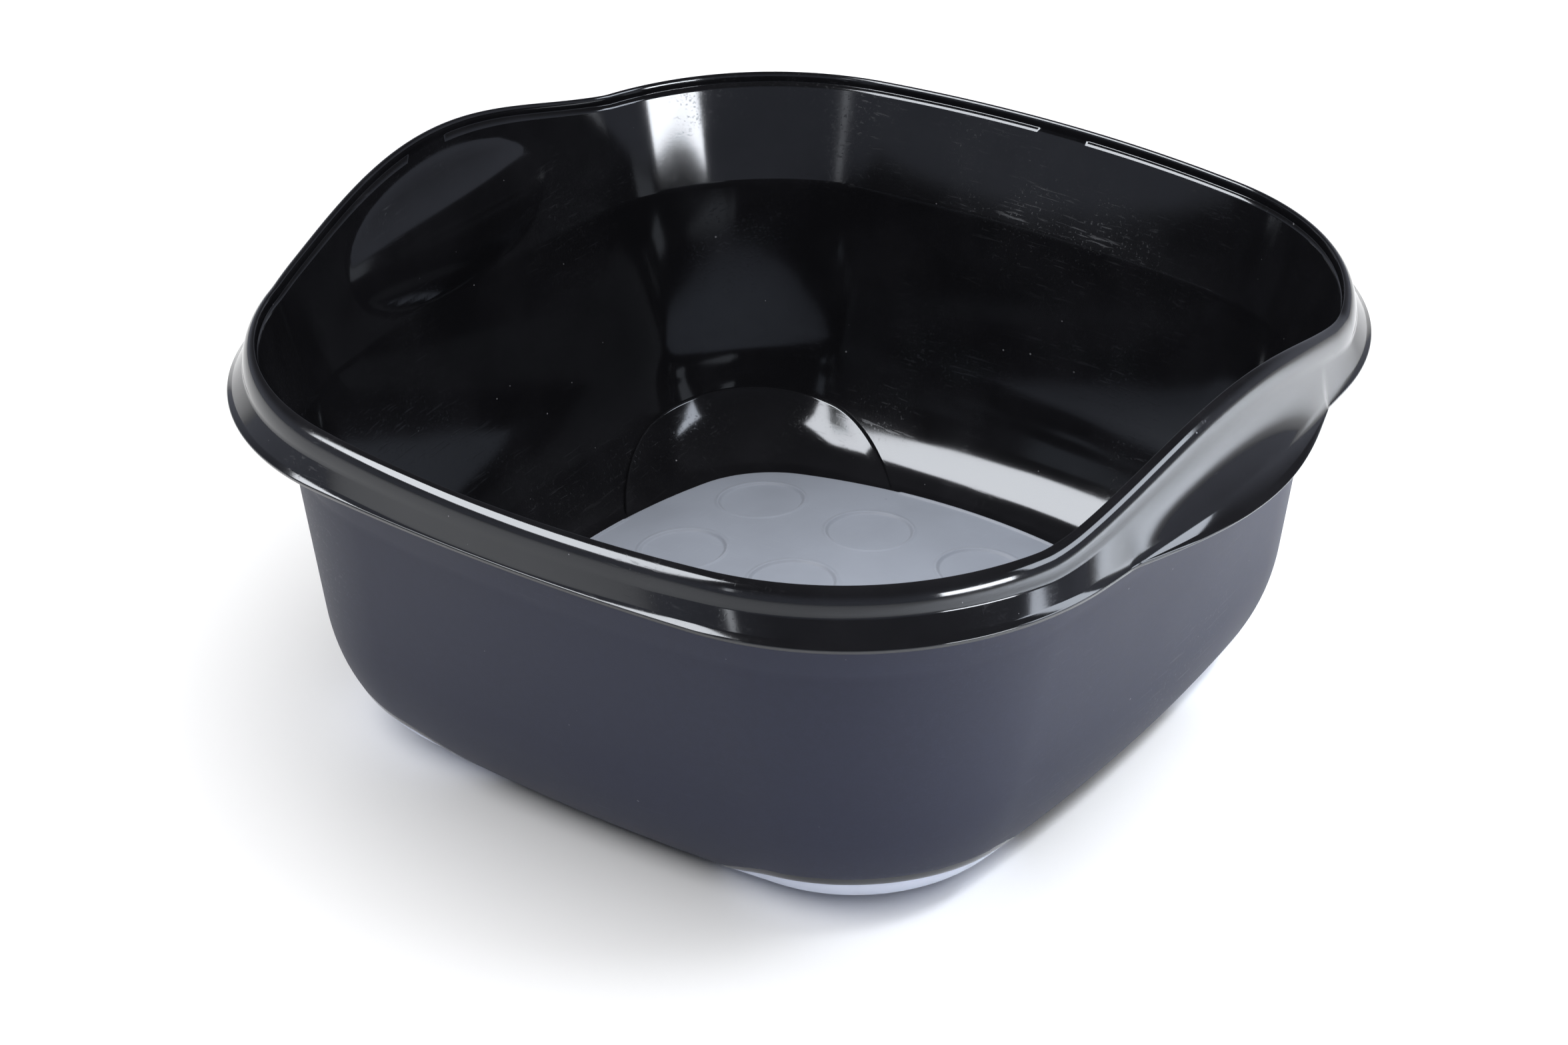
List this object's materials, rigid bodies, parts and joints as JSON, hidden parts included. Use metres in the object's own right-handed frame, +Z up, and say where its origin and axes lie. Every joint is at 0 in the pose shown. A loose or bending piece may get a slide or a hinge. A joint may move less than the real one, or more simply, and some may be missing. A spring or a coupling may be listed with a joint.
{
  "type": "square basin bowl",
  "caption": "Deep square plastic bowl with a rolled rim that rises into hand grips on opposite sides, a soft dimpled mat on its domed floor and soft round feet at its corners.",
  "frame": {"origin": "on the ground under the middle of the bowl", "axes": "+X through the right-hand grip, +Y towards the back plain side, +Z up out of the bowl"},
  "size_m": [0.4048, 0.3804, 0.1852],
  "materials": {
    "shell_black": "glossy black moulded plastic inside and on the rim, fine satin texture on the outer wall",
    "mat_grey": "matt blue-grey soft moulding",
    "foot_grey": "satin light lavender-grey soft moulding"
  },
  "bodies": {
    "root": {"bowl_shell": "shell_black", "floor_mat": "mat_grey", "foot_front_right": "foot_grey", "foot_front_left": "foot_grey", "foot_back_right": "foot_grey", "foot_back_left": "foot_grey"}
  },
  "joints": []
}
